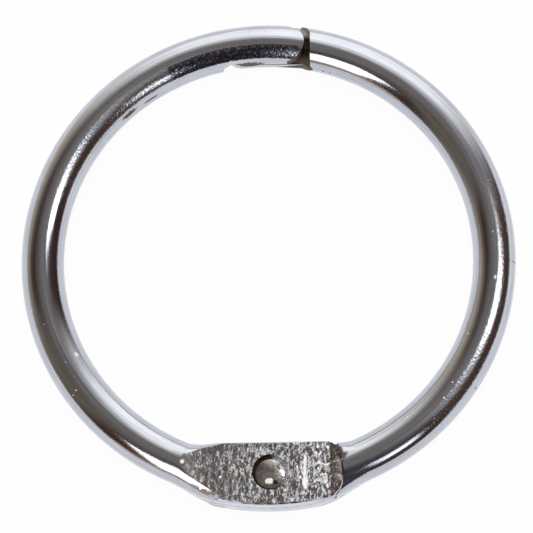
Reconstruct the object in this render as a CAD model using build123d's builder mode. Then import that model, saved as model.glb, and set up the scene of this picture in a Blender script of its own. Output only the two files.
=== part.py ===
from build123d import *
from math import asin, cos, degrees, radians, sin, sqrt, tan
import os

# Driving dimensions, in millimetres and degrees.
# The closed ring lies flat on the XY plane. Its hinge is at -Y and its closure at +Y.

# The wire and the ring that it is bent into
ring_inside = 25.0  # inside width, the size that the ring is sold by
wire_diameter = 2.6

# Between the two halves, where their blades and their tongues lie flat on each other
facing_gap = 0.05

# The hinge blades, pressed flat from the wire
press_depth = 0.15  # from the wire's crest down to the blade's flat face
inner_spread = 0.77  # how far the blade's straight edge stands into the ring
outer_spread = 0.42  # how far the blade's curved edge stands out of the ring
blade_edge_radius = 0.10
root_tip_reach = 5.40  # from the rivet to where the flat starts on the round wire
root_ramp_reach = 4.20  # from the rivet to where the flat is level with the blade
root_full_reach = 2.75  # from the rivet to where the blade has its full width
root_corner = 0.30  # rounding left on the flanks of the wire at full width
tail_reach = 4.35  # from the rivet to the blade's free end
tail_inner_corner = 0.90
tail_outer_corner = 1.25
shoulder_clearance = 0.06  # between a blade's free end and the other half's shoulder
crease_reach = 2.02  # from the rivet to the tool's crease across the blade
crease_slope = 2.5
bevel_reach = 3.53  # from the rivet to the bevel at the free end
bevel_slope = 15.0

# The rivet and its seat in each blade
rivet_inset = 0.24  # from the wire's middle line towards the ring's centre
shank_diameter = 1.30
head_diameter = 1.86
head_height = 0.60
head_rim = 0.06  # straight part of the head under its dome
shank_clearance = 0.03
seat_clearance = 0.02  # under the head
recess_clearance = 0.14  # round the head
recess_depth = 0.50

# The closure, a half lap with a rounded nose on each tongue
tongue_reach = 2.39  # from the closure's middle to the tip of each nose
nose_gap = 0.24  # between a nose and the shoulder that it faces
nose_radius = 1.07
nose_offset = -0.15  # the nose's centre, out from the wire's middle line
seat_radius = 0.75  # outer corner of the shoulder's seat
seat_offset = 0.40  # the corner's centre, out from the wire's middle line
outer_slant = 60.0  # outer side of a nose and of its seat, from straight across the wire
flank_dressing = 0.08  # taken off the tongue's inner flank, which is flat
dressing_reach = 2.21  # from the closure's middle to where the dressed flank starts to run out
dressing_slope = 34.0  # of the run-out

# The snap, a low nub in a dimple between the tongues
snap_place = -0.45  # along X from the closure's middle
nub_radius = 0.45  # where the nub meets the tongue's face
nub_height = 0.08

# Sizes that follow
wire_radius = wire_diameter / 2
inner_radius = ring_inside / 2
middle_radius = inner_radius + wire_radius
outer_radius = inner_radius + wire_diameter
parting = wire_radius  # height of the plane between the halves
upper_face = parting + facing_gap / 2  # underside of the upper blade and tongue
blade_thickness = wire_radius - press_depth - facing_gap / 2
blade_top = upper_face + blade_thickness
blade_inner_y = -(inner_radius - inner_spread)
blade_outer_radius = outer_radius + outer_spread
rivet_y = -(middle_radius - rivet_inset)
tip_angle = degrees(asin(root_tip_reach / middle_radius))
full_angle = degrees(asin(root_full_reach / middle_radius))
closure_angle = degrees(asin((tongue_reach + wire_radius) / inner_radius))

ring_axis = Axis((0, 0, 0), (0, 0, 1))
rivet_axis = Axis((0, rivet_y, parting), (0, 0, 1))
hinge_plane = Plane(origin=(0, rivet_y, parting), x_dir=(1, 0, 0), z_dir=(0, -1, 0))
clear = wire_diameter  # reach of the cutting shapes past the wire
root_steps = 5  # stages from the round wire to the flat blade


def section_plane(angle):
    """A plane across the wire, at an angle from the hinge towards -X. Its x points out of the ring."""
    outward = (-sin(radians(angle)), -cos(radians(angle)), 0)
    place = (middle_radius * outward[0], middle_radius * outward[1], parting)
    along = (outward[1], -outward[0], 0)
    return Plane(origin=place, x_dir=outward, z_dir=along)


def closure_plane(lift, turned_over=False):
    """The closure's middle, at a height above the parting plane, or below it for the plane turned over."""
    side = -1 if turned_over else 1
    place = (0, middle_radius, parting + side * lift)
    return Plane(origin=place, x_dir=(side, 0, 0), z_dir=(0, 0, side))


def blade_outline(spare=0):
    """The blade seen from above: straight inner edge, curved outer edge, free end round the rivet.

    With spare, the outline is that much larger all round."""
    inner_y = blade_inner_y + spare
    outer_r = blade_outer_radius + spare
    tail_r = tail_reach + spare
    tail_inner_x = sqrt(tail_r**2 - (inner_y - rivet_y) ** 2)
    tail_outer_y = (outer_r**2 + rivet_y**2 - tail_r**2) / (2 * rivet_y)
    tail_outer_x = sqrt(outer_r**2 - tail_outer_y**2)
    tail_inner = (tail_inner_x, inner_y)
    tail_outer = (tail_outer_x, tail_outer_y)
    root_inner = (inner_y * tan(radians(full_angle)), inner_y)
    root_outer = (-outer_r * sin(radians(full_angle)), -outer_r * cos(radians(full_angle)))
    with BuildSketch() as outline:
        with BuildLine():
            Line(root_inner, tail_inner)
            ThreePointArc(tail_inner, (tail_r, rivet_y), tail_outer)
            ThreePointArc(tail_outer, (0, -outer_r), root_outer)
            Line(root_outer, root_inner)
        make_face()
        fillet(outline.vertices().sort_by_distance(tail_inner)[0], radius=tail_inner_corner + spare)
        fillet(outline.vertices().sort_by_distance(tail_outer)[0], radius=tail_outer_corner + spare)
    return outline.sketch


def swing_outline():
    """The room for the other blade's free end, which swings into the ring as the ring opens.

    On the ring's outer side it only clears that blade's corner, so the shoulder stands behind the corner."""
    with BuildSketch() as swing:
        with Locations((0, rivet_y)):
            Circle(tail_reach + shoulder_clearance)
            Rectangle(4 * tail_reach, 2 * tail_reach, align=(Align.CENTER, Align.MAX), mode=Mode.SUBTRACT)
        add(mirror(blade_outline(shoulder_clearance), about=Plane.YZ, mode=Mode.PRIVATE))
    return swing.sketch


def tongue_outline(tip, corner_radius, corner_offset, first_angle):
    """The face behind a nose, or in front of a shoulder, that reaches along X as far as tip.

    Its edge is straight up to first_angle, then round about the corner's centre, then slanted."""
    centre = (tip - corner_radius, corner_offset)
    with BuildSketch() as face:
        with BuildLine():
            corner = CenterArc(centre, corner_radius, first_angle, outer_slant - first_angle)
            slant_run = (clear - (corner @ 1).Y) / cos(radians(outer_slant))
            slant = PolarLine(corner @ 1, slant_run, 90 + outer_slant)
            Polyline(slant @ 1, (-2 * clear, clear), (-2 * clear, -clear), ((corner @ 0).X, -clear), corner @ 0)
        make_face()
    return face.sketch


def hinge_blade():
    """The flat blade, with its upper edges rounded by the press, a crease across it and a bevelled end."""
    with BuildPart() as blade:
        with BuildSketch(Plane.XY.offset(upper_face)):
            add(blade_outline())
        extrude(amount=blade_thickness)
        root_first = blade.edges().group_by(Axis.Z)[-1].sort_by(Axis.X)
        fillet(root_first[1:], radius=blade_edge_radius)

        crease_drop = (bevel_reach - crease_reach) * tan(radians(crease_slope))
        for reach, slope, drop in ((crease_reach, crease_slope, 0), (bevel_reach, bevel_slope, crease_drop)):
            lean = (sin(radians(slope)), 0, cos(radians(slope)))
            split(bisect_by=Plane(origin=(reach, 0, blade_top - drop), z_dir=lean), keep=Keep.BOTTOM)
    return blade.part


def half_ring():
    """One half as it leaves the press, with its blade and its tongue on top, lying to the -X side."""
    root_inner = middle_radius + blade_inner_y / cos(radians(full_angle))
    root_outer = blade_outer_radius - middle_radius

    with BuildPart() as half:
        # The round wire, from the root of the blade to just past the nose
        with BuildSketch(section_plane(tip_angle)):
            Circle(wire_radius)
        revolve(axis=ring_axis, revolution_arc=-(180 - tip_angle + closure_angle))

        # The root, where the round wire widens to the blade's width
        for step in range(root_steps + 1):
            share = step / root_steps
            eased = share**2 * (3 - 2 * share)
            inner = wire_radius + eased * (root_inner - wire_radius)
            outer = wire_radius + eased * (root_outer - wire_radius)
            corner = wire_radius + share * (root_corner - wire_radius)
            with BuildSketch(section_plane(tip_angle + share * (full_angle - tip_angle))):
                with Locations(((outer - inner) / 2, 0)):
                    if step == 0:
                        Circle(wire_radius)
                    else:
                        RectangleRounded(inner + outer, wire_diameter, corner)
        loft()

        # The press flattens the root above and below. The flats run out up the round wire
        with BuildSketch(hinge_plane):
            with BuildLine():
                Polyline(
                    (0, wire_radius - press_depth),
                    (-root_ramp_reach, wire_radius - press_depth),
                    (-root_tip_reach, wire_radius),
                    (-root_tip_reach, 2 * wire_radius),
                    (0, 2 * wire_radius),
                    close=True,
                )
            make_face()
            mirror(about=Plane.XZ)
        extrude(amount=tail_reach, both=True, mode=Mode.SUBTRACT)
        add(hinge_blade())

        # Under the blade the half stops at a shoulder, round the other blade's free end
        with BuildSketch(Plane.XY.offset(upper_face)):
            add(swing_outline())
        extrude(amount=-clear, mode=Mode.SUBTRACT)

        # The rivet's hole, with a round recess for its head
        with Locations((0, rivet_y, blade_top)):
            CounterBoreHole(
                radius=shank_diameter / 2 + shank_clearance,
                counter_bore_radius=head_diameter / 2 + recess_clearance,
                counter_bore_depth=recess_depth,
                depth=2 * blade_thickness,
            )

        # The tongue ends in a rounded nose
        with BuildSketch(closure_plane(0)):
            with Locations((clear, 0)):
                Rectangle(4 * clear, 2 * clear)
            add(tongue_outline(tongue_reach, nose_radius, nose_offset, -90), mode=Mode.SUBTRACT)
        extrude(amount=clear, both=True, mode=Mode.SUBTRACT)

        # Under the tongue the wire stops at a blunt shoulder, hollowed as a seat for the other nose
        with BuildSketch(closure_plane(-facing_gap / 2, turned_over=True)):
            add(tongue_outline(tongue_reach + nose_gap, seat_radius, seat_offset, 0))
        extrude(amount=clear, mode=Mode.SUBTRACT)

        # The tongue's inner flank is dressed flat, and the dressing runs out behind the shoulder
        flank = flank_dressing - wire_radius
        run_out = clear * tan(radians(dressing_slope))
        with BuildSketch(closure_plane(0)):
            with BuildLine():
                Polyline(
                    (2 * clear, flank),
                    (-dressing_reach, flank),
                    (-dressing_reach - clear, flank - run_out),
                    (2 * clear, flank - run_out),
                    close=True,
                )
            make_face()
        extrude(amount=clear, both=True, mode=Mode.SUBTRACT)
    return half.part


half = half_ring()

# The snap's nub is a shallow cap of this ball, whose centre is above the tongue's face
ball_radius = (nub_radius**2 + nub_height**2) / (2 * nub_height)
ball_place = (snap_place, middle_radius, upper_face - nub_height + ball_radius)

# Left half, with the upper blade, the upper tongue and the nub under it
with BuildPart() as left_half:
    with BuildSketch(Plane.XY.offset(upper_face)):
        with Locations(ball_place[:2]):
            Circle(nub_radius)
    extrude(amount=-nub_height)
    with Locations(ball_place):
        Sphere(ball_radius, mode=Mode.INTERSECT)
    add(half)
left_half.part.label = "left_half"

# Right half, the same stamping turned over, with a dimple for the nub
with BuildPart() as right_half:
    with Locations(Location((0, 0, 2 * parting), (0, 180, 0))):
        add(half)
    with Locations(ball_place):
        Sphere(ball_radius + facing_gap, mode=Mode.SUBTRACT)
right_half.part.label = "right_half"

# Hinge rivet, with a domed head in the recess of each blade
head_seat = upper_face - parting + blade_thickness - recess_depth + seat_clearance
with BuildPart() as hinge_rivet:
    with BuildSketch(hinge_plane):
        with BuildLine():
            side = Polyline(
                (0, 0),
                (shank_diameter / 2, 0),
                (shank_diameter / 2, head_seat),
                (head_diameter / 2, head_seat),
                (head_diameter / 2, head_seat + head_rim),
            )
            TangentArc((0, head_seat + head_height), side @ 1, tangent=(1, 0))
            Line((0, head_seat + head_height), (0, 0))
        make_face()
        mirror(about=Plane.XZ)
    revolve(axis=rivet_axis)
hinge_rivet.part.label = "hinge_rivet"

os.makedirs("parts", exist_ok=True)
export_step(left_half.part, "parts/left_half.step")
export_step(right_half.part, "parts/right_half.step")
export_step(hinge_rivet.part, "parts/hinge_rivet.step")
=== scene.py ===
from math import cos, pi, radians, sin

import bpy
import numpy as np
from mathutils import Matrix, Vector


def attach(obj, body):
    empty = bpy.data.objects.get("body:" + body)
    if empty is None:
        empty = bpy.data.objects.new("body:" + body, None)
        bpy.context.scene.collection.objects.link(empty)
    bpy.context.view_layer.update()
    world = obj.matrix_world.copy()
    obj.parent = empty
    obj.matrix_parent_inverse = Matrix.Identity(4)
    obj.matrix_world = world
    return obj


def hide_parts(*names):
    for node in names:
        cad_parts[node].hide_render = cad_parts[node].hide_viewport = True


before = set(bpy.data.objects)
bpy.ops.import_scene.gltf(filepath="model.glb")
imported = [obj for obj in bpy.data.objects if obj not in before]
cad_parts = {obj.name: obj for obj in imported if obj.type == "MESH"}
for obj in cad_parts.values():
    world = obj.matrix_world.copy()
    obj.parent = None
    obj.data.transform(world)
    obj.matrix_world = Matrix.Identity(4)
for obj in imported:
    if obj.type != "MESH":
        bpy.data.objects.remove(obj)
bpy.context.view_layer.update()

# Sizes of the ring, in metres, as the CAD part has them
MM = 0.001
wire_radius = 1.3 * MM
middle_radius = 13.8 * MM
mid_height = 1.3 * MM
rivet_y = -13.56 * MM


# Camera

image_size = 533
sensor_width = 36.0
camera_distance = 170 * MM
camera_tilt = radians(16.25)  # from straight above, towards the hinge
camera_azimuth = radians(4.89)  # of that tilt, towards +X
camera_roll = radians(-0.63)
pixels_per_mm = 16.366  # at the ring's distance
aim_right = -0.10 * MM  # shifts the camera, so the ring's centre stands right of the middle and above it
aim_up = -0.509 * MM


def photo_camera():
    """Looks at the ring's centre from its tilt and azimuth, then rolls about the line of sight."""
    back = np.array((
        sin(camera_azimuth) * sin(camera_tilt),
        -cos(camera_azimuth) * sin(camera_tilt),
        cos(camera_tilt),
    ))
    level = np.cross((0, 1, 0), back)
    level /= np.linalg.norm(level)
    upward = np.cross(back, level)
    right = cos(camera_roll) * level + sin(camera_roll) * upward
    up = cos(camera_roll) * upward - sin(camera_roll) * level
    place = np.array((0, 0, mid_height)) + camera_distance * back + aim_right * right + aim_up * up

    focal_pixels = pixels_per_mm * camera_distance / MM
    data = bpy.data.cameras.new("photo_camera")
    data.lens = sensor_width * focal_pixels / image_size
    data.sensor_width = sensor_width
    data.clip_start = 0.005
    data.clip_end = 10
    camera = bpy.data.objects.new("photo_camera", data)
    bpy.context.scene.collection.objects.link(camera)
    turn = np.eye(4)
    turn[:3, 0] = right
    turn[:3, 1] = up
    turn[:3, 2] = back
    turn[:3, 3] = place
    camera.matrix_world = Matrix(turn.tolist())
    bpy.context.scene.camera = camera


photo_camera()


# Shader maths

class Value:
    """A node's output. Operators on it add Math nodes."""

    def __init__(self, finish, socket):
        self.finish = finish
        self.socket = socket

    def math(self, operation, *others):
        inputs = dict(enumerate((self, *others)))
        return self.finish.node("ShaderNodeMath", inputs, operation=operation)

    def __add__(self, other):
        return self.math("ADD", other)

    def __sub__(self, other):
        return self.math("SUBTRACT", other)

    def __rsub__(self, other):
        return self.finish.number(other).math("SUBTRACT", self)

    def __mul__(self, other):
        return self.math("MULTIPLY", other)

    def __abs__(self):
        return self.math("ABSOLUTE")

    __radd__ = __add__
    __rmul__ = __mul__

    def above(self, start, end):
        """0 up to start, 1 from end on, and smooth between them."""
        inputs = {"Value": self, "From Min": start, "From Max": end}
        return self.finish.node("ShaderNodeMapRange", inputs, interpolation_type="SMOOTHSTEP")

    def below(self, start, end):
        """1 up to start, 0 from end on, and smooth between them."""
        inputs = {"Value": self, "From Min": start, "From Max": end, "To Min": 1.0, "To Max": 0.0}
        return self.finish.node("ShaderNodeMapRange", inputs, interpolation_type="SMOOTHSTEP")

    def near(self, middle, reach, edge):
        """1 within reach of middle, falling to 0 over edge."""
        return abs(self - middle).below(reach, reach + edge)


def strongest(*values):
    """The largest of them."""
    largest = values[0]
    for value in values[1:]:
        largest = largest.math("MAXIMUM", value)
    return largest


def square_sum(first, second):
    return first * first + second * second


def hypotenuse(first, second):
    return square_sum(first, second).math("SQRT")


class Finish:
    """A material and the nodes in it."""

    def __init__(self, name):
        self.data = bpy.data.materials.new(name)
        self.data.use_nodes = True
        self.tree = self.data.node_tree
        self.tree.nodes.clear()

    def node(self, kind, inputs, output=0, **settings):
        """Adds a node: its settings, then its sockets, from numbers, tuples or other nodes' outputs."""
        made = self.tree.nodes.new(kind)
        for name, setting in settings.items():
            setattr(made, name, setting)
        for name, value in inputs.items():
            if isinstance(value, Value):
                self.tree.links.new(value.socket, made.inputs[name])
            else:
                made.inputs[name].default_value = value
        return Value(self, made.outputs[output]) if made.outputs else made

    def number(self, value):
        return self.node("ShaderNodeMath", {0: value, 1: 0.0}, operation="ADD")

    def axes(self):
        """The object's own coordinates in millimetres."""
        place = self.node("ShaderNodeTexCoord", {}, "Object")
        split = {"Vector": place}
        return [self.node("ShaderNodeSeparateXYZ", split, axis) * (1 / MM) for axis in "XYZ"]

    def vector(self, x, y, z):
        return self.node("ShaderNodeCombineXYZ", {"X": x, "Y": y, "Z": z})

    def noise(self, vector, scale, detail, roughness):
        inputs = {"Vector": vector, "Scale": scale, "Detail": detail, "Roughness": roughness}
        return self.node("ShaderNodeTexNoise", inputs, "Fac")

    def speckle(self, vector, scale):
        """Distance from the middle of scattered cells."""
        return self.node("ShaderNodeTexVoronoi", {"Vector": vector, "Scale": scale}, "Distance")

    def glitter(self, vector, scale):
        """Soft tints that change from grain to grain."""
        tint = self.node("ShaderNodeTexNoise", {"Vector": vector, "Scale": scale, "Detail": 1.0}, "Color")
        contrast = (1.25, 1.15, 1.25)
        lift = (0.22, 0.30, 0.29)
        inputs = {0: tint, 1: contrast, 2: lift}
        return self.node("ShaderNodeVectorMath", inputs, operation="MULTIPLY_ADD")

    def mix(self, share, first, second):
        """A colour between two colours."""
        inputs = {0: share, 6: first, 7: second}
        return self.node("ShaderNodeMix", inputs, 2, data_type="RGBA")

    def bump(self, height, distance, under=None):
        """A bumped normal, over another one if that is given."""
        inputs = {"Height": height, "Distance": distance, "Strength": 1.0}
        if under:
            inputs["Normal"] = under
        return self.node("ShaderNodeBump", inputs)

    def surface(self, **sockets):
        """Principled BSDF, with each socket's name written with _ for its spaces."""
        inputs = {name.replace("_", " "): value for name, value in sockets.items()}
        return self.node("ShaderNodeBsdfPrincipled", inputs)

    def output(self, shader):
        self.node("ShaderNodeOutputMaterial", {"Surface": shader})
        return self.data


# Meshes

def new_object(name, points, faces, finishes, kind):
    """A smooth object from points and faces. Kind says which of the finishes each face has."""
    mesh = bpy.data.meshes.new(name)
    mesh.from_pydata(points.tolist(), [], faces.tolist())
    for finish in finishes:
        mesh.materials.append(finish)
    mesh.polygons.foreach_set("material_index", kind)
    mesh.polygons.foreach_set("use_smooth", np.ones(len(faces), bool))
    piece = bpy.data.objects.new(name, mesh)
    bpy.context.scene.collection.objects.link(piece)
    return piece


def one_kind(faces):
    return np.zeros(len(faces), np.int32)


def grid_object(name, points, finish):
    """A surface through a grid of points, rows by columns, as quads."""
    rows, columns = points.shape[:2]
    index = np.arange(rows * columns).reshape(rows, columns)
    corners = (index[:-1, :-1], index[:-1, 1:], index[1:, 1:], index[1:, :-1])
    quads = np.stack(corners, -1).reshape(-1, 4)
    return new_object(name, points.reshape(-1, 3), quads, (finish,), one_kind(quads))


# Studio: a white floor, a dim warm room overhead and soft lamps round it

floor_reach = 0.5
floor_drop = 0.01 * MM  # below the ring, which lies on Z = 0
floor_glow = 0.95  # share of plain white in what the camera and the reflections see of the floor
room_radius = 1.2
lamp_distance = 0.7


def floor_finish():
    """Pale matt, but nearly all plain white where the camera or a reflection sees it."""
    finish = Finish("pale_floor")
    rays = [
        finish.node("ShaderNodeLightPath", {}, f"Is {kind} Ray")
        for kind in ("Camera", "Glossy", "Transmission")
    ]
    matt = finish.surface(Base_Color=(0.95, 0.95, 0.95, 1), Roughness=0.9)
    white = finish.node("ShaderNodeEmission", {"Color": (1, 1, 1, 1), "Strength": 1.0})
    shares = {0: strongest(*rays) * floor_glow, 1: matt, 2: white}
    return finish.output(finish.node("ShaderNodeMixShader", shares))


def floor():
    """A square level grid just under the ring."""
    side = np.linspace(-floor_reach, floor_reach, 9)
    x, y = np.meshgrid(side, side)
    points = np.stack((x, y, np.full_like(x, -floor_drop)), -1)
    piece = grid_object("floor", points, floor_finish())


def room_finish():
    """The room's brightness by direction.

    Drop is in degrees from straight up, and turn in degrees from the back towards the left. The room is
    grey straight up and dark brown low down, with a grey panel at the right, a dark front with an orange
    fringe near the floor, a pale left side and a white back."""
    finish = Finish("dim_room")
    x, y, z = finish.axes()
    drop = (z * (MM / room_radius)).math("ARCCOSINE") * (180 / pi)
    turn = (x * -1).math("ARCTAN2", y) * (180 / pi)
    back = turn.near(-8, 18, 34) * (drop - abs(turn + 8) * 0.5).above(11, 44)
    left = turn.near(72, 40, 26) * (drop - turn * 0.5).above(12, 62)
    right = turn.near(-98, 8, 18) * drop.near(28, 8, 14)
    front = abs(turn).above(128, 158) * drop.above(14, 34)
    corner = turn.near(100, 12, 14) * drop.near(48, 20, 16)
    fringe = turn.near(152, 20, 6) * drop.near(84.5, 1.0, 1.5)
    colour = finish.mix(drop.above(10, 50), (0.250, 0.225, 0.205, 1), (0.062, 0.034, 0.025, 1))
    colour = finish.mix(front, colour, (0.072, 0.058, 0.064, 1))
    colour = finish.mix(corner, colour, (0.20, 0.165, 0.13, 1))
    colour = finish.mix(right, colour, (0.32, 0.33, 0.36, 1))
    colour = finish.mix(left, colour, (0.66, 0.57, 0.46, 1))
    colour = finish.mix(back, colour, (1.68, 1.66, 1.60, 1))
    colour = finish.mix(fringe, colour, (1.3, 0.62, 0.28, 1))
    shell = finish.surface(
        Base_Color=(0, 0, 0, 1),
        Roughness=1.0,
        Specular_IOR_Level=0.0,
        Emission_Color=colour,
        Emission_Strength=1.0,
    )
    return finish.output(shell)


def room():
    """A half sphere over the floor: height and azimuth run evenly in angle. The camera doesn't see it."""
    lift, turn = np.meshgrid(np.linspace(0, pi / 2, 25), np.linspace(-pi, pi, 97), indexing="ij")
    shell = np.stack((np.cos(lift) * np.cos(turn), np.cos(lift) * np.sin(turn), np.sin(lift)), -1)
    piece = grid_object("room", room_radius * shell, room_finish())
    piece.visible_camera = False
    piece.visible_shadow = False
    piece.data.materials[0].cycles.emission_sampling = "NONE"


def lamp(name, place, size, brightness, tint=(1, 1, 1), along=(0, 0, 1)):
    """A rectangular lamp that faces the ring, in metres. Brightness 1 is as bright as white.

    The second of its two sizes runs along the given direction, as nearly as facing the ring allows."""
    data = bpy.data.lights.new(name, "AREA")
    data.shape = "RECTANGLE"
    data.size, data.size_y = size
    data.energy = brightness * pi * size[0] * size[1]
    data.color = tint
    away = Vector(place).normalized()
    upward = (Vector(along) - away * away.dot(Vector(along))).normalized()
    turn = Matrix((upward.cross(away), upward, away)).transposed()
    piece = bpy.data.objects.new(name, data)
    bpy.context.scene.collection.objects.link(piece)
    piece.matrix_world = Matrix.Translation(place) @ turn.to_4x4()
    return piece


def sky_place(azimuth, elevation):
    """A lamp's place by its direction from the ring, in degrees: from +X towards +Y, then up."""
    turn, lift = radians(azimuth), radians(elevation)
    return (
        lamp_distance * cos(lift) * cos(turn),
        lamp_distance * cos(lift) * sin(turn),
        lamp_distance * sin(lift),
    )


floor()
room()
lamp("front_left_lamp", sky_place(-118, 31), (0.31, 0.45), 3.0, (1.0, 0.99, 0.97), (-0.25, 0.1, 1))
lamp("front_right_lamp", sky_place(-50, 32), (0.16, 0.20), 2.2, (0.97, 0.98, 1.0))
lamp("ceiling_strip", (0.38, 0.11, 0.60), (0.11, 0.32), 4.5, (0.98, 1.0, 1.0), (1, -0.18, 0))
fill = lamp("overhead_fill", (0, 0, 0.8), (0.9, 0.9), 1.6, (1, 1, 1), (0, 1, 0))
fill.visible_glossy = False

world = bpy.data.worlds.new("studio")
world.use_nodes = True
bpy.context.scene.world = world
background = world.node_tree.nodes["Background"].inputs
background["Color"].default_value = (1, 1, 1, 1)
background["Strength"].default_value = 1.0

bpy.context.scene.view_settings.view_transform = "Standard"


# Finishes

def wire_finish():
    """Bright nickel over drawn wire.

    It has lines along it, rough stretches whose grains glitter, pits, brown chips and dots on the inner
    edge, and at the closure a tarnished stretch, a dark brown patch of painted shade on the inner side
    where the tongues meet, and a fine arc.
    Turn is in degrees from the closure's side towards the left, and lean is in degrees over the wire's
    section: 0 outside, 90 on top and 180 inside."""
    finish = Finish("plated_wire")
    x, y, z = finish.axes()
    out = hypotenuse(x, y) - middle_radius / MM
    rise = z - mid_height / MM
    turn = (x * -1).math("ARCTAN2", y) * (180 / pi)
    lean = rise.math("ARCTAN2", out) * (180 / pi)
    turn_length = middle_radius / MM * pi / 180  # millimetres along the wire in one degree of turn
    lean_length = wire_radius / MM * pi / 180  # and over it in one degree of lean
    along = turn * turn_length
    skin = finish.vector(out, rise, along)
    torn = finish.noise(skin, 5.0, 3.0, 0.6)

    def spot(at_turn, at_lean, length, width, ragged=0.0):
        """1 within an oval of that length along the wire and width over it, in millimetres."""
        first = (turn - at_turn) * (turn_length * 2 / length)
        second = (lean - at_lean) * (lean_length * 2 / width)
        return (hypotenuse(first, second) + (torn - 0.5) * ragged).below(0.75, 1.15)

    lines = finish.noise(finish.vector(out * 11, rise * 11, along * 0.12), 1.0, 4.0, 0.65)
    haze = finish.noise(finish.vector(out, rise, along * 0.6), 0.9, 3.0, 0.6)
    grain = finish.noise(skin, 8.0, 2.0, 0.6)
    closure = turn.near(9, 17.2, 1.5)
    rough_inside = turn.near(46, 22, 14) * lean.near(122, 16, 14)
    rough_outside = turn.near(-104, 26, 12) * lean.near(64, 14, 14)
    rough_closure = closure * lean.near(125, 19, 6)
    rough = strongest(rough_inside, rough_outside, rough_closure)
    tarnish = closure * lean.near(125, 19, 4) * (0.95 - grain.above(0.50, 0.64) * 0.65)
    pits = finish.speckle(skin, 0.9).below(0.025, 0.060)

    chips = strongest(spot(42.3, 157, 1.25, 0.34, 1.6), spot(35, 163, 1.2, 0.16, 1.4))
    dots = strongest(spot(-16.5, 172, 0.18, 0.14), spot(-18.5, 172, 0.14, 0.12))
    hair = spot(-92.7, 25, 0.05, 0.8)
    nick = strongest(spot(118.0, 122, 0.35, 0.22, 0.8), spot(-97.5, 88, 0.3, 0.15, 0.8))
    # painted shade: a dark brown patch on the inner side where the closure's tongues meet
    gap_shade_reach = hypotenuse((x + 1.05) * 1.1, (z - 1.55 - x * 0.15) * 2.6) + (torn - 0.5) * 1.8
    gap_shade = gap_shade_reach.below(0.85, 1.0) * out.below(-0.85, -0.75) * y.above(10, 11)
    # the stains, together with the painted shade at the closure
    stains_and_shade = strongest(chips, dots, hair, gap_shade)
    arc = hypotenuse(x + 0.5, y - 14.16).near(0.56, 0.008, 0.02) * y.above(14.05, 14.2)
    arc_stem = x.near(-0.07, 0.01, 0.02) * y.near(13.72, 0.2, 0.05)
    witness = (arc + arc_stem) * z.above(1.6, 1.8)

    base = finish.mix(haze.above(0.35, 0.7), (0.53, 0.555, 0.625, 1), (0.49, 0.51, 0.575, 1))
    base = finish.mix(lines.above(0.50, 0.66) * 0.5, base, (0.27, 0.26, 0.25, 1))
    base = finish.mix(rough * 0.5, base, finish.glitter(skin, 8.0))
    base = finish.mix(tarnish, base, (0.085, 0.095, 0.14, 1))
    base = finish.mix(witness * 0.5, base, (0.20, 0.19, 0.22, 1))
    base = finish.mix(strongest(pits, nick), base, (0.93, 0.93, 0.95, 1))
    # dark brown for the stains and for the painted shade at the closure
    base = finish.mix(stains_and_shade * 0.9, base, (0.060, 0.028, 0.026, 1))
    base = finish.mix(spot(-124.4, 20, 0.2, 0.2), base, (0.10, 0.28, 0.60, 1))

    metal = 1.0 - pits * 0.7 - stains_and_shade * 0.7 - nick * 0.6
    roughness = 0.10 + haze * 0.06 + pits * 0.3 + stains_and_shade * 0.4 + rough * 0.04
    lined = finish.bump(lines, 0.0035 * MM)
    normal = finish.bump(grain * (0.10 + rough * 0.90), 0.013 * MM, lined)
    shader = finish.surface(Base_Color=base, Metallic=metal, Roughness=roughness, Normal=normal)
    return finish.output(shader)


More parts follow.
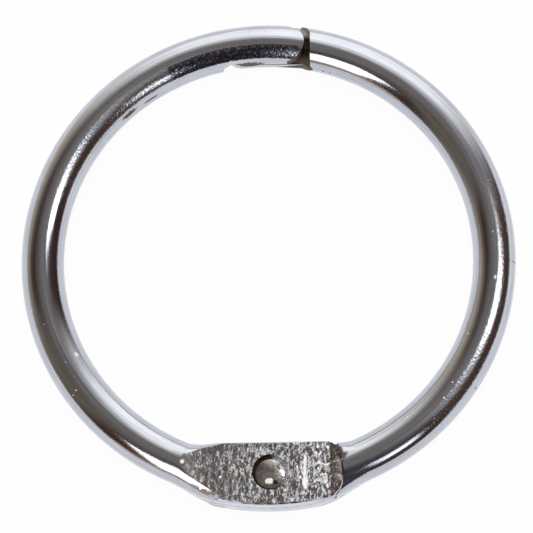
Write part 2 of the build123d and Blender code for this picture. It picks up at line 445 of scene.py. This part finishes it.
def face_finish():
    """The pressed face of the hinge.

    Its brushing runs front to back, and the grains glitter, more towards the right. A painted highlight
    runs along the crease that crosses it. The slope at its right end is darker, with fine lines that fan
    out, and its left end is plain."""
    finish = Finish("pressed_face")
    x, y, z = finish.axes()
    skin = finish.vector(x * 6.6, y * 2.9, z)
    grain = finish.noise(skin, 1.0, 2.0, 0.6)
    fine = finish.noise(finish.vector(x * 13, y * 8, z), 1.0, 1.0, 0.5)
    mixed = grain * 0.65 + fine * 0.35
    fan = (y + 13.3).math("ARCTAN2", x - 2.2)
    rays = finish.noise(finish.vector(fan * 9, x * 0.4, 0.0), 1.0, 2.0, 0.6)

    slope = x.above(3.50, 3.66)
    plain = x.below(-5.4, -4.6)
    lively = x.above(-5.0, -1.0) * 0.55 + x.near(2.7, 0.75, 0.25) * 0.45
    glint = (mixed + lively * 0.08).above(0.56, 0.64) * (1 - slope * 0.9) * (1 - plain * 0.85)
    # painted highlight along the crease that crosses the face
    crease_highlight_reach = y.below(-14.3, -13.2) * 0.06 + 0.03
    crease_highlight = (x + (grain - 0.5) * 0.3).near(2.07, crease_highlight_reach, 0.09) * y.near(-13.6, 0.9, 0.25)
    crease_highlight = crease_highlight * (0.45 + fine).above(0.64, 0.86)
    scratch = (y - (x * 9).math("SINE") * 0.05).near(-13.1, 0.03, 0.04) * x.near(3.18, 0.34, 0.1)
    dot = square_sum(x + 5.22, y + 12.86).below(0.006, 0.024)
    bead = square_sum(x + 2.97, y + 13.82).below(0.002, 0.008)
    corner = hypotenuse(x - 3.1, y + 13.97)
    # painted highlight on the tail's lower right edge, where a lamp reflects
    rim_highlight = corner.near(1.21, 0.025, 0.03) * x.above(3.7, 3.95) * y.below(-14.2, -13.8)
    specks = finish.speckle(finish.vector(x * 3.4, y * 2.4, 0.0), 1.0).below(0.20, 0.34)
    sparks = specks * x.above(-3.0, 1.5) * (1 - slope) * fine.above(0.34, 0.46)
    # bright marks: painted highlights and painted sparkles, with a scratch, a dot and a bead
    highlights_and_marks = strongest(crease_highlight, scratch * 0.8, dot * 0.9, bead, rim_highlight * 0.9, sparks)

    base = finish.mix(mixed.above(0.40, 0.60), (0.23, 0.208, 0.215, 1), (0.86, 0.89, 0.96, 1))
    base = finish.mix(x.below(-4.4, -1.4) * 0.65, base, (0.32, 0.29, 0.30, 1))
    base = finish.mix(plain * 0.8, base, (0.46, 0.44, 0.46, 1))
    base = finish.mix(slope * 0.94, base, (0.13, 0.10, 0.09, 1))
    base = finish.mix(slope * rays.above(0.50, 0.66) * 0.45, base, (0.62, 0.57, 0.55, 1))
    base = finish.mix(glint * 0.9, base, finish.glitter(skin, 1.3))
    base = finish.mix(highlights_and_marks, base, (0.96, 0.96, 0.95, 1))
    metal = 1.0 - strongest(glint * 0.42, highlights_and_marks * 0.9)
    roughness = 0.30 + highlights_and_marks * 0.2
    normal = finish.bump(mixed * (1 - plain * 0.85), 0.022 * MM)
    shader = finish.surface(Base_Color=base, Metallic=metal, Roughness=roughness, Normal=normal)
    return finish.output(shader)


def shade_and_grime_finish():
    """Bare pressed metal, dark brown with grime and painted shade, in the closure's gap and round the rivet.

    It is paler at the gap's outer end and a little lighter at its inner end, painted light where the gap
    opens. The right side of the rivet's recess is lighter tinted metal, without the painted shade."""
    finish = Finish("painted_shade_and_grime")
    x, y, z = finish.axes()
    skin = finish.vector(x, y, z)
    cloud = finish.noise(skin, 2.2, 3.0, 0.6)
    crumbs = finish.noise(skin, 9.0, 2.0, 0.6)
    # painted light: paler where the gap opens, at its outer end and less at its inner end
    lit_outer_end = y.above(14.2, 14.6)
    lit_inner_end = y.below(12.7, 13.3) * y.above(8, 9)
    # the recess's right side: lighter tinted metal in place of the painted shade
    unshaded_right_side = (x * 0.95 + (y - rivet_y / MM) * 0.25).above(0.25, 0.8) * y.below(-8, -7)
    # very dark brown: grime and painted shade
    colour = finish.mix(cloud.above(0.4, 0.65), (0.014, 0.007, 0.005, 1), (0.034, 0.019, 0.013, 1))
    colour = finish.mix(lit_outer_end * (0.6 + cloud * 0.6), colour, (0.70, 0.63, 0.60, 1))
    colour = finish.mix(lit_inner_end * 0.6, colour, (0.17, 0.13, 0.10, 1))
    colour = finish.mix(crumbs.above(0.55, 0.68) * 0.2, colour, (0.30, 0.27, 0.25, 1))
    colour = finish.mix(unshaded_right_side * 0.9, colour, finish.glitter(skin, 8.0))
    shader = finish.surface(
        Base_Color=colour,
        Metallic=0.05 + unshaded_right_side * 0.7,
        Roughness=0.5,
        Specular_IOR_Level=0.2,
        Normal=finish.bump(crumbs, 0.02 * MM),
    )
    return finish.output(shader)


def rivet_finish():
    """A burnished brown-grey rivet head.

    It has a few glittering grains on its right, two painted highlights and a spot of painted shade."""
    finish = Finish("worn_rivet")
    x, y, z = finish.axes()
    skin = finish.vector(x, y, z)
    cloud = finish.noise(skin, 2.0, 3.0, 0.6)
    grain = finish.noise(skin, 7.0, 2.0, 0.6)
    side = (x * 0.95 + (y - rivet_y / MM) * 0.3).above(0.05, 0.55)
    glint = (grain + side * 0.10).above(0.60, 0.68) * (0.25 + side * 0.75)
    ragged = grain * 0.16 - 0.08

    def painted_patch(at_x, at_y, reach):
        """1 within a ragged oval, a little longer along X."""
        first, second = x - at_x, y - at_y
        return ((first * first * 0.5 + second * second).math("SQRT") + ragged).below(reach * 0.7, reach)

    # painted highlights where lamps reflect in the dome, and a spot of painted shade
    shine = strongest(painted_patch(-0.05, -14.10, 0.19), painted_patch(0.68, -13.48, 0.11))
    shadow = painted_patch(0.30, -14.16, 0.13)
    colour = finish.mix(cloud.above(0.4, 0.62), (0.40, 0.375, 0.37, 1), (0.56, 0.535, 0.54, 1))
    colour = finish.mix(glint * 0.9, colour, finish.glitter(skin, 8.0))
    colour = finish.mix(shadow * 0.9, colour, (0.05, 0.04, 0.04, 1))
    colour = finish.mix(shine, colour, (0.98, 0.98, 0.98, 1))
    normal = finish.bump(grain, 0.009 * MM)
    metal = 1.0 - strongest(glint * 0.4, shine * 0.85)
    return finish.output(finish.surface(Base_Color=colour, Metallic=metal, Roughness=0.2, Normal=normal))


# Shapes of the halves, as places in the ring's own frame

hinge_below = -9 * MM  # what lies below this Y belongs to the hinge
closure_above = 12 * MM  # and what lies above this one to the closure
press_tip = 5.6 * MM  # how far the pressed root reaches from the hinge, along X
tail_end = 4.33 * MM
recess_radius = 1.16 * MM
face_height = 1.15 * MM  # of the pressed face, above the ring's middle
ramp_start, ramp_end = 4.2 * MM, 5.4 * MM  # along X, where the pressed face climbs to the wire's crest
cut_start, cut_end = 0.85 * MM, 4 * MM  # along X, where the closure's cut faces lie
flank_end = 1.2 * MM  # along X, where the tongue's dressed inner flank ends

# Shading of the halves

merge_distance = 0.0005 * MM
crease_angle = radians(28)  # between faces that share no normal
corner_closeness, corner_angle = 0.006 * MM, radians(14)  # of a corner on the round wire, to the wire
face_closeness, face_angle = 0.012 * MM, radians(16)  # and of a whole face
flat_limit = 0.93  # a face is flat when its direction's Z is more than this
level_limit = 0.9  # and level enough for a normal of its own when it is more than this
side_start = 2.0 * MM  # along X, where the root's sides begin
streak_start = 2.5 * MM  # along X, where the wire's streak starts to show on them
streak_rise = 1.4 * MM  # and over how far it gains its full strength
squeeze_reach = 2.4 * MM  # over this the streak narrows towards the hinge
squeeze_power = 1.6
steepest = 0.97  # the highest place on the wire's section that a side's normal is taken from
dome_start = 0.3  # the rivet's domes begin where a normal's Z is more than this
dome_flattening = 2.4

# Changes to the shapes, which the photo asks for

trim_start = np.array((-5.37, -13.40)) * MM
trim_end = np.array((-2.48, -15.29)) * MM
trim_left, trim_right, trim_below = -5.3 * MM, -2 * MM, -13 * MM  # where the trimmed edge lies
trim_closeness = 0.004 * MM  # of the edge's points to the face's own height
trim_limit = 0.5 * MM  # points farther out than this stay
gap_opening = 0.14 * MM
shoulder_start, shoulder_end, shoulder_above = 1.4 * MM, 3.2 * MM, -0.1 * MM


# Pieces

def merged(node):
    """A CAD node's points and triangles, with the points that lie together made one."""
    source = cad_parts[node].data
    points = np.empty(len(source.vertices) * 3)
    source.vertices.foreach_get("co", points)
    source.calc_loop_triangles()
    corners = np.empty(len(source.loop_triangles) * 3, int)
    source.loop_triangles.foreach_get("vertices", corners)
    keys = np.round(points.reshape(-1, 3) / merge_distance).astype(np.int64)
    first, merged_to = np.unique(keys, axis=0, return_index=True, return_inverse=True)[1:]
    points = points.reshape(-1, 3)[first]
    faces = merged_to.reshape(-1)[corners].reshape(-1, 3)
    whole = (faces[:, 0] != faces[:, 1]) & (faces[:, 1] != faces[:, 2]) & (faces[:, 2] != faces[:, 0])
    return points, faces[whole]


def unit(rows):
    return rows / np.maximum(np.linalg.norm(rows, axis=1), 1e-30)[:, None]


def face_directions(points, faces):
    """The way that each triangle faces, and twice its area."""
    first, second, third = (points[faces[:, corner]] for corner in range(3))
    spread = np.cross(second - first, third - first)
    return unit(spread), np.linalg.norm(spread, axis=1)


def soft_normals(faces, facing, area):
    """A normal at each corner.

    It is the mean of the faces that meet there within crease_angle, weighted by area."""
    corner_point = faces.reshape(-1)
    corner_face = np.repeat(np.arange(len(faces)), 3)
    order = np.argsort(corner_point, kind="stable")
    weighted = (facing * area[:, None])[corner_face]
    total = weighted.copy()
    for step in range(1, np.bincount(corner_point).max()):
        a, b = order[:-step], order[step:]
        same = corner_point[a] == corner_point[b]
        a, b = a[same], b[same]
        close = np.sum(facing[corner_face[a]] * facing[corner_face[b]], 1) > cos(crease_angle)
        np.add.at(total, a[close], weighted[b[close]])
        np.add.at(total, b[close], weighted[a[close]])
    return unit(total)


def wire_normals(places):
    """Straight out from the wire's middle line, how far out each place is, and straight out of the ring."""
    level = unit(places * (1, 1, 0))
    outward = places - level * middle_radius - (0, 0, mid_height)
    return unit(outward), np.linalg.norm(outward, axis=1), level


def on_round_wire(outward, reach, facing, closeness, angle):
    """Whether places lie that close to the round wire's surface, on faces that look out of it."""
    return (np.abs(reach - wire_radius) < closeness) & (np.sum(outward * facing, 1) > cos(angle))


def half_normals(points, faces, facing, area, top):
    """A normal at each corner of a half.

    On the round wire it points straight out from the wire's middle line. On the sides of the pressed root it
    leans as it would there, less and less towards the hinge, so a streak runs on along the root."""
    normals = soft_normals(faces, facing, area)
    places = points[faces.reshape(-1)]
    corner_facing = np.repeat(facing, 3, axis=0)
    outward, reach, level = wire_normals(places)
    on_wire = on_round_wire(outward, reach, corner_facing, corner_closeness, corner_angle)
    normals[on_wire] = outward[on_wire]

    across = np.abs(places[:, 0])
    pressed_root = (places[:, 1] < hinge_below) & ~on_wire
    upright = np.abs(corner_facing[:, 2]) < flat_limit
    out_of_ring = np.sum(corner_facing * level, 1)
    side = pressed_root & upright & (across > side_start) & (across < press_tip)
    side &= np.abs(out_of_ring) > 0.2
    height = np.clip((places[:, 2] - mid_height) / wire_radius, -steepest, steepest)
    squeeze = 1 + squeeze_power * np.clip((press_tip - across) / squeeze_reach, 0, 1)
    height = np.sign(height) * np.abs(height) ** squeeze
    sideways = np.sign(out_of_ring) * np.sqrt(1 - height ** 2)
    round_normal = level * sideways[:, None] + np.outer(height, (0, 0, 1))
    share = np.clip((across - streak_start) / streak_rise, 0, 1) * side
    normals = unit(normals * (1 - share)[:, None] + round_normal * share[:, None])

    run_out = pressed_root & (corner_facing[:, 2] * -top > level_limit) & (across > tail_end)
    normals[run_out] = outward[run_out]
    upper = pressed_root & (corner_facing[:, 2] * top > level_limit) & (across < tail_end)
    normals[upper] = (0, 0, top)
    return normals


def half_kinds(points, faces, facing, top):
    """0 for a face of the wire, 1 for the pressed face, and 2 for the closure's gap and the recess."""
    middle = points[faces].mean(1)
    x, y = middle[:, 0], middle[:, 1]
    height = middle[:, 2] - mid_height
    flat = np.abs(facing[:, 2]) > flat_limit
    pressed = flat & (y < hinge_below) & (facing[:, 2] * top > 0) & (np.abs(x) < press_tip)
    pressed &= height * top > 0.5 * MM
    recess = (np.hypot(x, y - rivet_y) < recess_radius) & ~(pressed & (np.abs(height) > 1.1 * MM))
    outward, reach = wire_normals(middle)[:2]
    cut = (y > closure_above) & (x > cut_start) & (x < cut_end)
    cut &= ~on_round_wire(outward, reach, facing, face_closeness, face_angle)
    inner_flank = cut & (np.abs(facing[:, 2]) < 0.5) & (facing[:, 1] < -0.9) & (x < flank_end)
    kind = one_kind(faces)
    kind[pressed] = 1
    kind[recess | (cut & ~inner_flank)] = 2
    return kind


def trim_face(points, top):
    """Draws the pressed face's outer edge in to a straight line along the root.

    A bevel is left beside it."""
    across = points[:, 0] * top
    height = (points[:, 2] - mid_height) * top
    run = np.clip((-across - ramp_start) / (ramp_end - ramp_start), 0, 1)
    face_level = face_height + run * (wire_radius - face_height)
    line = (trim_end - trim_start) / np.linalg.norm(trim_end - trim_start)
    inward = np.array((-line[1], line[0]))
    place = np.stack((across, points[:, 1]), 1) - trim_start
    beyond = np.maximum(-place @ inward, 0)
    moved = (np.abs(height - face_level) < trim_closeness) & (across < trim_right) & (across > trim_left)
    moved &= (points[:, 1] < trim_below) & (beyond < trim_limit)
    points[moved, 0] += inward[0] * beyond[moved] * top
    points[moved, 1] += inward[1] * beyond[moved]


def open_gap(points):
    """Turns the right half's upper shoulder back about the ring's axis, to the gap's width in the photo."""
    across = points[:, 0]
    height = points[:, 2] - mid_height
    moved = (points[:, 1] > closure_above) & (across > shoulder_start) & (across < shoulder_end)
    moved &= height > shoulder_above
    turn = -gap_opening / middle_radius
    x, y = points[moved, 0], points[moved, 1]
    points[moved, 0] = x * cos(turn) - y * sin(turn)
    points[moved, 1] = x * sin(turn) + y * cos(turn)


def stand_in(piece, normals, node, body):
    """Gives a piece its corners' normals, and lets it stand for a CAD node and move with its body."""
    piece.data.normals_split_custom_set(normals.tolist())
    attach(piece, body)
    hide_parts(node)


def plated_half(node, body, finishes, top):
    """A merged copy of one half with a smooth plated surface.

    Top is 1 where its pressed face looks up, else -1. The finishes are for the wire, for the pressed face,
    and for what lies in the gap and the recess."""
    points, faces = merged(node)
    facing, area = face_directions(points, faces)
    normals = half_normals(points, faces, facing, area, top)
    kind = half_kinds(points, faces, facing, top)
    trim_face(points, top)
    if top < 0:
        open_gap(points)
    piece = new_object(node + "_plated", points, faces, finishes, kind)
    stand_in(piece, normals, node, body)


def plated_rivet(node, body, finish):
    """A merged copy of the rivet, its domes burnished flatter in the middle than a ball would be."""
    points, faces = merged(node)
    facing, area = face_directions(points, faces)
    normals = soft_normals(faces, facing, area)
    dome = np.abs(normals[:, 2]) > dome_start
    normals[dome] = unit(normals[dome] + np.outer(np.sign(normals[dome, 2]), (0, 0, dome_flattening)))
    piece = new_object(node + "_burnished", points, faces, (finish,), one_kind(faces))
    stand_in(piece, normals, node, body)


finishes = (wire_finish(), face_finish(), shade_and_grime_finish())
plated_half("left_half", "left", finishes, 1)
plated_half("right_half", "right", finishes, -1)
plated_rivet("hinge_rivet", "right", rivet_finish())
